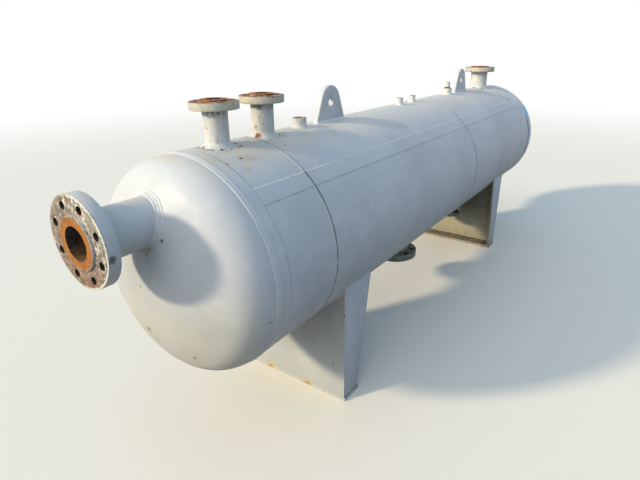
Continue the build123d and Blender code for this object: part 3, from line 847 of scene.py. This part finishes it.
def fillet_section(leg, passes, count):
    """Section of a fillet, faintly hollow and rippled by its passes, with dirt along its two toes."""
    section = []
    for i in range(count + 1):
        t = i / count
        valley = 0.5 + 0.5 * math.cos(2 * math.pi * passes * t)
        swell = leg * (0.08 * (1 - valley) - 0.09 * math.sin(math.pi * t))
        groove = max(0.75 * hump(t, 1, 0.12), 0.45 * hump(t, 0, 0.12), 0.45 * valley)
        section.append((leg * t + swell, leg * (1 - t) + swell, math.sin(math.pi * t) ** 0.5, groove, -0.4))
    corners = ((leg, -BURIED / 2), (-BURIED / 4, -BURIED / 2), (-BURIED / 4, leg))
    return section + [(across, up, 0, 1, 0) for across, up in corners]


def stray(share, length, loop):
    """How a bead wanders at a share of its length, from -1 to 1, with no step where a loop closes."""
    if not loop:
        return noise.noise(Vector((share * length / STRAY_LENGTH, 0.5, 0.5)))
    turned, reach = 2 * math.pi * share, length / LOOP_STRAY_LENGTH
    return noise.noise(Vector((math.cos(turned) * reach, math.sin(turned) * reach, 0)))


def lay_bead(bm, place, length, section, loop=True, looseness=0.015):
    """Lays a bead: carries a section along a guide, with ripples, and notes where it is deep and where its
    crest stands.

    place(share of the length, across, up) gives the point in the vessel's frame. The bead's width wanders
    by its looseness.
    """
    welds = settings().welds
    along = max(round(length / welds.step), 4)
    across = len(section)
    ripples = round(length / welds.ripple)
    layers = bm.verts.layers.float
    groove_layer, crest_layer = [layers.get(name) or layers.new(name) for name in ("groove", "crest")]
    for vert in bmesh.ops.create_grid(bm, x_segments=along, y_segments=across, size=0.5)["verts"]:
        share = vert.co.x + 0.5
        side, up, exposed, groove, crest = section[round((vert.co.y + 0.5) * across) % across]
        wander = stray(share, length, loop)
        top = abs(math.sin(math.pi * (share * ripples + groove * 0.3) + (0 if loop else wander)))
        dip = welds.ripple_depth * exposed * (1 - top) * (1 + 0.6 * wander)
        vert[groove_layer] = min(1.0, groove * (0.85 + 0.3 * wander) + (1 - top) * 0.2 * exposed)
        vert[crest_layer] = crest
        vert.co = place(share, side * (1 + looseness * wander), up - dip)
    bmesh.ops.remove_doubles(bm, verts=bm.verts, dist=MERGED)
    if not loop:
        bmesh.ops.holes_fill(bm, edges=[edge for edge in bm.edges if edge.is_boundary])
    bmesh.ops.recalc_face_normals(bm, faces=bm.faces)


def weld(name, finish, nodes, *beads):
    """Publishes a piece of weld metal, with its beads given as lay_bead takes them."""
    bm = bmesh.new()
    for bead in beads:
        lay_bead(bm, *bead)
    publish(bm, name + "_bead", [finish], nodes)


def on_shell(x, angle, up):
    """A point over the shell, at an angle from its top down the -Y side."""
    out = SHELL_RADIUS + up
    return Vector((x, -out * math.sin(angle), AXIS_HEIGHT + out * math.cos(angle)))


def girth_place(x, start=0.0, end=2 * math.pi, away=1):
    """Guide round the shell from one angle to another, with across to the side that away gives."""
    def place(share, across, up):
        return on_shell(x + away * across, start + (end - start) * share, up)
    return place


def line_place(start, end, angle):
    """Guide along the shell, at an angle from its top down the -Y side."""
    def place(share, across, up):
        return on_shell(start + (end - start) * share, angle + across / SHELL_RADIUS, up)
    return place


def root_place(centre, axis, radius):
    """Guide round a barrel where it meets the vessel: across runs out on the wall, up along the barrel."""
    turned = axis.to_track_quat("Z", "Y").to_matrix()
    first, second = turned.col[0].copy(), turned.col[1].copy()

    def place(share, across, up):
        angle = 2 * math.pi * share
        out = first * math.cos(angle) + second * math.sin(angle)
        root = onto_vessel(centre + out * radius, axis)
        further = onto_vessel(centre + out * (radius + ROOT_REACH), axis)
        return root + (further - root).normalized() * across + axis * up
    return place


def plate_place(low, high):
    """Guide round the foot of an upright plate on the top of the shell."""
    length, depth = high.x - low.x, high.y - low.y
    middle = (low + high) / 2
    corners = [(-length / 2, -depth / 2), (length / 2, -depth / 2), (length / 2, depth / 2),
               (-length / 2, depth / 2)]
    runs = [length, depth, length, depth]
    outward = [Vector((0, -1)), Vector((1, 0)), Vector((0, 1)), Vector((-1, 0))]

    def place(share, across, up):
        run = (share % 1.0) * 2 * (length + depth)
        side = 0
        while side < 3 and run > runs[side]:
            run -= runs[side]
            side += 1
        t = run / runs[side]
        start, end = corners[side], corners[(side + 1) % 4]
        bend = 0.5 * max(0.0, 1 - min(run, runs[side] - run) / CORNER_TURN)
        other = outward[(side - 1) % 4] if t < 0.5 else outward[(side + 1) % 4]
        normal = (outward[side] * (1 - bend) + other * bend).normalized()
        x = middle.x + start[0] + (end[0] - start[0]) * t + normal.x * across
        y = middle.y + start[1] + (end[1] - start[1]) * t + normal.y * across
        return Vector((x, y, AXIS_HEIGHT + math.sqrt(SHELL_RADIUS**2 - y**2) + up))
    return place


def post_place(corner_x, corner_y, away, aside, bottom, top):
    """Guide up the corner between a saddle's web and a rib."""
    def place(share, across, up):
        return Vector((corner_x + away * up, corner_y + aside * across, bottom + (top - bottom) * share))
    return place


# Pieces


class SEPARATOR_OT_courses(bpy.types.Operator):
    """Rolls the three courses of the shell, with their wall and their drilled holes"""

    bl_idname = "separator.courses"
    bl_label = "Shell courses"

    def execute(self, context):
        shape = settings().shape
        measures = [nozzle_measures(name) for name in NOZZLES if name != "inlet_nozzle"]
        holes = [(centre, bore) for _, centre, _, bore, _ in measures]
        holes += [(middle_of(name), bore) for name, bore in COUPLING_BORES.items()]
        for course in ("near_course", "middle_course", "far_course"):
            start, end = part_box(course)[0].x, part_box(course)[1].x
            rings = max(round((end - start) / RING_LENGTH), 2)
            outer = [(SHELL_RADIUS, start + (end - start) * i / rings) for i in range(rings + 1)]
            bm = spun(outer + [(SHELL_RADIUS - shape.wall, end), (SHELL_RADIUS - shape.wall, start)],
                      ROUND_STEPS)
            bm.transform(Matrix.Translation((0, 0, AXIS_HEIGHT)) @ Matrix.Rotation(math.pi / 2, 4, "Y"))
            cutters = []
            for centre, bore in holes:
                if start < centre.x < end:
                    side = 1 if centre.z > AXIS_HEIGHT else -1
                    middle = Vector((centre.x, 0, AXIS_HEIGHT + side * SHELL_RADIUS))
                    cutters.append((middle, UP, bore - shape.hole_step / 2, SHELL_RADIUS))
            carve(bm, cutters)
            for face in bm.faces:
                middle = face.calc_center_median()
                from_axis = math.hypot(middle.y, middle.z - AXIS_HEIGHT)
                face.material_index = int(from_axis < SHELL_RADIUS - PAINT_REACH / 2)
            publish(bm, course + "_plate", [shell_enamel, scale_rust], [course])
        return {"FINISHED"}


class SEPARATOR_OT_heads(bpy.types.Operator):
    """Presses the two dished heads, the near one open for the inlet"""

    bl_idname = "separator.heads"
    bl_label = "Dished heads"

    def execute(self, context):
        shape = settings().shape
        inlet = MOUNTS["inlet_nozzle_bore"]
        for head, seam, outward in (("near_head", NEAR_SEAM, -1), ("far_head", FAR_SEAM, 1)):
            outline = head_outline(shape.wall) + head_outline(0.0)[::-1]
            bm = spun([(height, out) for out, height in outline], ROUND_STEPS)
            turn = Matrix.Rotation(outward * math.pi / 2, 4, "Y")
            bm.transform(Matrix.Translation((seam, 0, AXIS_HEIGHT)) @ turn)
            if head == "near_head":
                hole = inlet["dims"]["r_mm"] / 1000 - shape.hole_step / 2
                middle = Vector((seam - HEAD_LENGTH / 2, 0, inlet["pos_m"][2]))
                carve(bm, [(middle, Vector((1, 0, 0)), hole, HEAD_LENGTH * 1.5)])
            for face in bm.faces:
                middle = face.calc_center_median()
                from_axis = math.hypot(middle.y, middle.z - AXIS_HEIGHT)
                surface = head_surface(from_axis) if from_axis < SHELL_RADIUS else 0.0
                depth = surface - outward * (middle.x - seam)
                face.material_index = int(depth > PAINT_REACH and from_axis < SHELL_RADIUS - PAINT_REACH)
            publish(bm, head + "_plate", [shell_enamel, scale_rust], [head])
        return {"FINISHED"}


class SEPARATOR_OT_seam_welds(bpy.types.Operator):
    """Lays the girth welds and the long seam's weld on the shell"""

    bl_idname = "separator.seam_welds"
    bl_label = "Seam welds"

    def execute(self, context):
        girths = ["near_head_weld", "near_course_weld", "far_course_weld", "far_head_weld"]
        for name in girths:
            low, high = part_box(name)
            width = high.x - low.x
            height = (high.z - low.z) / 2 - SHELL_RADIUS
            finish, section = seam_enamel, course_seam_section(width, height)
            if "head" in name:
                side = -1 if name.startswith("near") else 1
                finish, section = bead_enamel, head_seam_section(width, height, side)
            weld(name, finish, [name],
                 (girth_place((low.x + high.x) / 2), 2 * math.pi * SHELL_RADIUS, section))
        low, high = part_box("long_weld")
        top_angle = math.atan2(-high.y, high.z - AXIS_HEIGHT)
        bottom_angle = math.atan2(-low.y, low.z - AXIS_HEIGHT)
        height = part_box("near_course_weld")[1].z - AXIS_HEIGHT - SHELL_RADIUS
        section = long_seam_section((bottom_angle - top_angle) * SHELL_RADIUS, height)
        beads = []
        for first, second in zip(girths, girths[1:]):
            start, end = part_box(first)[1].x - SEAM_LAP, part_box(second)[0].x + SEAM_LAP
            guide = line_place(start, end, (top_angle + bottom_angle) / 2)
            beads.append((guide, end - start, section, False))
        weld("long_weld", bead_enamel, ["long_weld"], *beads)
        return {"FINISHED"}


class SEPARATOR_OT_nozzles(bpy.types.Operator):
    """Turns the flanged nozzles, with their bolt holes, raised faces and bores"""

    bl_idname = "separator.nozzles"
    bl_label = "Nozzles"

    def execute(self, context):
        shape = settings().shape
        for name in NOZZLES:
            size, centre, axis, bore, bolts = nozzle_measures(name)
            rim = across_box(name, axis)
            barrel = across_box(name + "_weld", axis) - settings().welds.nozzle_leg
            depth = along_box(name, axis)
            back = -shape.raised_face - size["thick"]
            fillet = arc_points((barrel + shape.hub_fillet, back - shape.hub_fillet), shape.hub_fillet,
                                90, 180, HUB_STEPS)
            bare = size["face"] - PAINTED_EDGE
            bm = spun([(bore, -depth), (bore, 0), (bare, 0), (size["face"], 0),
                       (size["face"], -shape.raised_face), (rim, -shape.raised_face), (rim, back)] + fillet
                      + [(barrel, -depth)], FLANGE_STEPS)
            rims = [edge for edge in sharp_edges(bm)
                    if all(math.hypot(v.co.x, v.co.y) > rim - TOUCHING for v in edge.verts)]
            round_off(bm, rims, shape.rim_bevel)
            circle, hole = bolts["pcd_mm"] / 2000, bolts["hole_r_mm"] / 1000
            cutters = []
            for i in range(bolts["count"]):
                angle = 2 * math.pi * (i + 0.5) / bolts["count"]
                middle = Vector((circle * math.cos(angle), circle * math.sin(angle),
                                 -shape.raised_face - size["thick"] / 2))
                cutters.append((middle, UP, hole, size["thick"] * 1.5))
            carve(bm, cutters)
            for face in bm.faces:
                middle = face.calc_center_median()
                from_axis = math.hypot(middle.x, middle.y)
                if face.normal.z > 0.5 and middle.z > back / 2:
                    face.material_index = 2 if from_axis < bare else 1
                elif from_axis < bore + TOUCHING or (middle.z > back and abs(from_axis - circle) < hole):
                    face.material_index = 3
            bm.transform(stood(centre, axis))
            for vert in bm.verts:
                if (vert.co - centre).dot(axis) < -depth + TOUCHING:
                    vert.co = onto_vessel(vert.co, axis) - axis * BURIED
            publish(bm, name + "_forging", [fitting_enamel, flaking_enamel, orange_rust, scale_rust], [name])
        return {"FINISHED"}


class SEPARATOR_OT_couplings(bpy.types.Operator):
    """Turns the half couplings with their threads, and the plug in the last one"""

    bl_idname = "separator.couplings"
    bl_label = "Couplings and plug"

    def thread(self, name, centre, bore, root):
        """Cuts a thread as a tooth that winds down the bore."""
        pitch = settings().shape.thread_pitch
        turns = int(along_box(name, UP) / pitch) - 1
        foot = root + THREAD_SUNK
        bm = bmesh.new()
        tooth = closed_outline(bm, [(foot, 0, -pitch / 2), (bore, 0, -pitch), (foot, 0, -pitch * 1.5)])
        bmesh.ops.spin(bm, geom=tooth, cent=(0, 0, 0), axis=UP, dvec=(0, 0, -pitch / THREAD_STEPS),
                       angle=2 * math.pi * turns, steps=THREAD_STEPS * turns, use_merge=False,
                       use_duplicate=False)
        bmesh.ops.holes_fill(bm, edges=[edge for edge in bm.edges if edge.is_boundary])
        bmesh.ops.recalc_face_normals(bm, faces=bm.faces)
        bm.transform(Matrix.Translation(centre))
        publish(bm, name + "_thread", [scale_rust], [])

    def plug(self):
        """Turns the plug: a shank in the coupling under a head with a rounded top."""
        low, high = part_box("coupling_4_plug")
        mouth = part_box("coupling_4")[1].z
        seat, foot = mouth + PLUG_GAP, mouth + PLUG_FOOT
        head, shank = across_box("coupling_4_plug", UP), COUPLING_BORES["coupling_4"] - PLUG_PLAY
        bm = spun([(0, high.z), (head, high.z), (head, foot), (head, seat), (shank, seat), (shank, low.z),
                   (0, low.z)], COUPLING_STEPS)
        rim = [edge for edge in sharp_edges(bm) if all(v.co.z > high.z - CLOSE for v in edge.verts)]
        round_off(bm, rim, PLUG_ROUND, 4)
        for face in bm.faces:
            middle = face.calc_center_median().z
            face.material_index = 1 if middle < foot else 2 * int(middle > high.z - PLUG_WORN)
        bm.transform(Matrix.Translation(((low.x + high.x) / 2, 0, 0)))
        publish(bm, "coupling_4_plug_turned", [fitting_enamel, scale_rust, flaking_enamel],
                ["coupling_4_plug"])

    def execute(self, context):
        for name, bore in COUPLING_BORES.items():
            centre, outside = coupling_measures(name)
            depth = along_box(name, UP) + BURIED
            root = bore + settings().shape.thread_pitch * THREAD_DEPTH
            bm = spun([(root, -depth), (root, -MOUTH_BEVEL), (root + MOUTH_BEVEL, 0), (root + MOUTH_RING, 0),
                       (outside - END_BEVEL, 0), (outside, -END_BEVEL), (outside, -depth)], COUPLING_STEPS)
            for face in bm.faces:
                middle = face.calc_center_median()
                from_axis = math.hypot(middle.x, middle.y)
                if from_axis < root + TOUCHING:
                    face.material_index = 2
                elif face.normal.z > 0.5 and from_axis > root + MOUTH_BEVEL:
                    face.material_index = 1
            bm.transform(Matrix.Translation(centre))
            publish(bm, name + "_forging", [fitting_enamel, flaking_enamel, scale_rust], [name])
            if name != "coupling_4":
                self.thread(name, centre, bore, root)
        self.plug()
        return {"FINISHED"}


class SEPARATOR_OT_fitting_welds(bpy.types.Operator):
    """Lays the fillets round the nozzles, couplings and lugs"""

    bl_idname = "separator.fitting_welds"
    bl_label = "Fitting welds"

    def execute(self, context):
        welds = settings().welds
        rounds = []
        for name, (_, axis) in NOZZLES.items():
            barrel = across_box(name + "_weld", axis) - welds.nozzle_leg
            rounds.append((name, middle_of(name), axis, barrel, welds.nozzle_leg, "nozzle"))
        for name in COUPLING_BORES:
            centre, outside = coupling_measures(name)
            rounds.append((name, centre, UP, outside, welds.coupling_leg, "coupling"))
        for name, centre, axis, radius, leg, kind in rounds:
            section = fillet_section(leg * LEG_SHARE, *FILLETS[kind])
            guide = root_place(centre, axis, radius)
            weld(name + "_weld", bead_enamel, [name + "_weld"],
                 (guide, 2 * math.pi * (radius + leg / 2), section, True, ROUND_LOOSENESS))
        for name in LUGS:
            low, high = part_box(name)
            section = fillet_section(welds.plate_leg, *FILLETS["plate"])
            length = 2 * (high.x - low.x + high.y - low.y)
            weld(name + "_weld", bead_enamel, [],
                 (plate_place(low, high), length, section, True, PLATE_LOOSENESS))
        return {"FINISHED"}


class SEPARATOR_OT_plates(bpy.types.Operator):
    """Cuts the lugs and the saddles' plates, with eased edges"""

    bl_idname = "separator.plates"
    bl_label = "Lugs and saddles"

    def execute(self, context):
        plates = [(lug, shell_enamel) for lug in LUGS]
        plates += [(saddle + part, saddle_enamel) for saddle in SADDLES
                   for part in ("_web", "_ribs", "_base")]
        for name, finish in plates:
            bm = bmesh.new()
            bm.from_mesh(frame["nodes"][name].data)
            bmesh.ops.remove_doubles(bm, verts=bm.verts, dist=CLOSE)
            bmesh.ops.dissolve_limit(bm, angle_limit=math.radians(1), verts=bm.verts, edges=bm.edges)
            round_off(bm, sharp_edges(bm), settings().shape.plate_bevel)
            for face in bm.faces:
                face.material_index = 0
            publish(bm, name + "_plate", [finish], [name])
        return {"FINISHED"}


class SEPARATOR_OT_saddle_welds(bpy.types.Operator):
    """Lays the fillets between the saddles' webs, their ribs and the shell"""

    bl_idname = "separator.saddle_welds"
    bl_label = "Saddle welds"

    def execute(self, context):
        section = fillet_section(settings().welds.plate_leg, *FILLETS["plate"])
        for saddle, inward in SADDLES.items():
            low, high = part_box(saddle + "_web")
            outer_x, inner_x = (low.x, high.x) if inward > 0 else (high.x, low.x)
            inner_y = high.y - (high.x - low.x)
            top = AXIS_HEIGHT - math.sqrt(SHELL_RADIUS**2 - inner_y**2)
            beads = []
            for x, y, away in ((outer_x, high.y, -inward), (inner_x, inner_y, inward)):
                reach = math.asin(y / SHELL_RADIUS)
                guide = girth_place(x, math.pi - reach, math.pi + reach, away)
                beads.append((guide, 2 * reach * SHELL_RADIUS, section, False))
            for side in (-1, 1):
                guide = post_place(inner_x, side * inner_y, inward, -side, low.z, top)
                beads.append((guide, top - low.z, section, False))
            weld(saddle + "_weld", saddle_enamel, [], *beads)
        return {"FINISHED"}


def direction(azimuth, height):
    """The direction at an angle round from +X and a height over the level."""
    return Vector((math.cos(height) * math.cos(azimuth), math.cos(height) * math.sin(azimuth),
                   math.sin(height)))


class SEPARATOR_OT_studio(bpy.types.Operator):
    """Sets the pale floor, the white background, the soft light and the camera"""

    bl_idname = "separator.studio"
    bl_label = "Studio"

    def seen_ray(self, tree):
        """1 for what the camera sees, also in gloss or through glass."""
        ray = add_node(tree, "ShaderNodeLightPath").outputs
        seen = ray["Is Camera Ray"]
        for other in ("Is Glossy Ray", "Is Transmission Ray"):
            seen = add_node(tree, "ShaderNodeMath", {0: seen, 1: ray[other]}, operation="MAXIMUM").outputs[0]
        return seen

    def lay_floor(self, scene, studio):
        """Painted floor that fades into the white background far out where it is seen.

        What it throws back on the object is darker than what is seen of it.
        """
        bm = bmesh.new()
        bmesh.ops.create_grid(bm, x_segments=1, y_segments=1, size=FLOOR_HALF)
        mesh = bpy.data.meshes.new("studio_floor")
        bm.to_mesh(mesh)
        bm.free()
        paint = Finish("floor_paint")
        tree = paint.tree
        seen = self.seen_ray(tree)
        colour = paint.blend(studio.bounce_colour, studio.floor_colour, seen)
        matt = add_node(tree, "ShaderNodeBsdfDiffuse", {"Color": colour})
        beyond = add_node(tree, "ShaderNodeEmission", {"Color": WHITE, "Strength": 1.0})
        distance = add_node(tree, "ShaderNodeVectorMath", {0: paint.place}, operation="LENGTH")
        far_out = distance.outputs["Value"]
        fading = paint.share((far_out, studio.floor_reach, studio.floor_reach * FADED), seen)
        surface = add_node(tree, "ShaderNodeMixShader", {0: fading, 1: matt.outputs[0],
                                                         2: beyond.outputs[0]})
        add_node(tree, "ShaderNodeOutputMaterial", {"Surface": surface.outputs[0]})
        mesh.materials.append(paint.material)
        floor = bpy.data.objects.new("studio_floor", mesh)
        scene.collection.objects.link(floor)

    def hang_lights(self, scene, studio):
        """The key stands for the sun, the fill for the bright sky round it, and the world is soft light."""
        for name in ("key", "fill"):
            light = bpy.data.lights.new(name, "SUN")
            light.energy = getattr(studio, name + "_strength")
            light.color = getattr(studio, name + "_colour")
            light.angle = getattr(studio, name + "_softness")
            lamp = bpy.data.objects.new(name, light)
            toward = direction(getattr(studio, name + "_azimuth"), getattr(studio, name + "_height"))
            lamp.rotation_euler = toward.to_track_quat("Z", "Y").to_euler()
            scene.collection.objects.link(lamp)
        world = bpy.data.worlds.new("studio")
        world.use_nodes = True
        tree = world.node_tree
        tree.nodes.clear()
        soft = add_node(tree, "ShaderNodeBackground", {"Color": (*studio.sky_colour, 1.0),
                                                       "Strength": studio.sky_strength})
        white = add_node(tree, "ShaderNodeBackground", {"Color": WHITE, "Strength": 1.0})
        mixed = add_node(tree, "ShaderNodeMixShader", {0: self.seen_ray(tree), 1: soft.outputs[0],
                                                       2: white.outputs[0]})
        add_node(tree, "ShaderNodeOutputWorld", {0: mixed.outputs[0]})
        scene.world = world

    def execute(self, context):
        studio = settings().studio
        scene = context.scene
        self.lay_floor(scene, studio)
        self.hang_lights(scene, studio)
        scene.view_settings.view_transform = "Standard"
        forward = direction(studio.camera_yaw, studio.camera_pitch)
        level = forward.cross(UP).normalized()
        upright = level.cross(forward)
        right = level * math.cos(studio.camera_roll) + upright * math.sin(studio.camera_roll)
        lens = bpy.data.cameras.new("camera")
        lens.sensor_width = SENSOR_WIDTH
        lens.lens = studio.lens
        camera = bpy.data.objects.new("camera", lens)
        camera.matrix_world = Matrix.Translation(studio.camera_place) @ Matrix(
            (right, right.cross(forward), -forward)).transposed().to_4x4()
        scene.collection.objects.link(camera)
        scene.camera = camera
        return {"FINISHED"}


OPERATORS = (
    SEPARATOR_OT_studio,
    SEPARATOR_OT_courses,
    SEPARATOR_OT_heads,
    SEPARATOR_OT_seam_welds,
    SEPARATOR_OT_nozzles,
    SEPARATOR_OT_couplings,
    SEPARATOR_OT_fitting_welds,
    SEPARATOR_OT_plates,
    SEPARATOR_OT_saddle_welds,
)


class SEPARATOR_PT_sidebar(bpy.types.Panel):
    """Lists the steps that build the separator"""

    bl_idname = "SEPARATOR_PT_sidebar"
    bl_label = "Three-phase separator"
    bl_space_type = "VIEW_3D"
    bl_region_type = "UI"
    bl_category = "Separator"

    def draw(self, context):
        for operator in OPERATORS:
            self.layout.operator(operator.bl_idname)


CLASSES = (SeparatorShape, SeparatorWelds, SeparatorColours, SeparatorStudio,
           SeparatorSettings) + OPERATORS + (SEPARATOR_PT_sidebar,)


def register():
    for kind in CLASSES:
        bpy.utils.register_class(kind)
    bpy.types.Scene.separator = PointerProperty(type=SeparatorSettings)


def unregister():
    del bpy.types.Scene.separator
    for kind in reversed(CLASSES):
        bpy.utils.unregister_class(kind)


def main():
    """Builds every piece in order."""
    register()
    for operator in OPERATORS:
        getattr(bpy.ops.separator, operator.bl_idname.split(".")[1])()


if __name__ == "__main__":
    main()
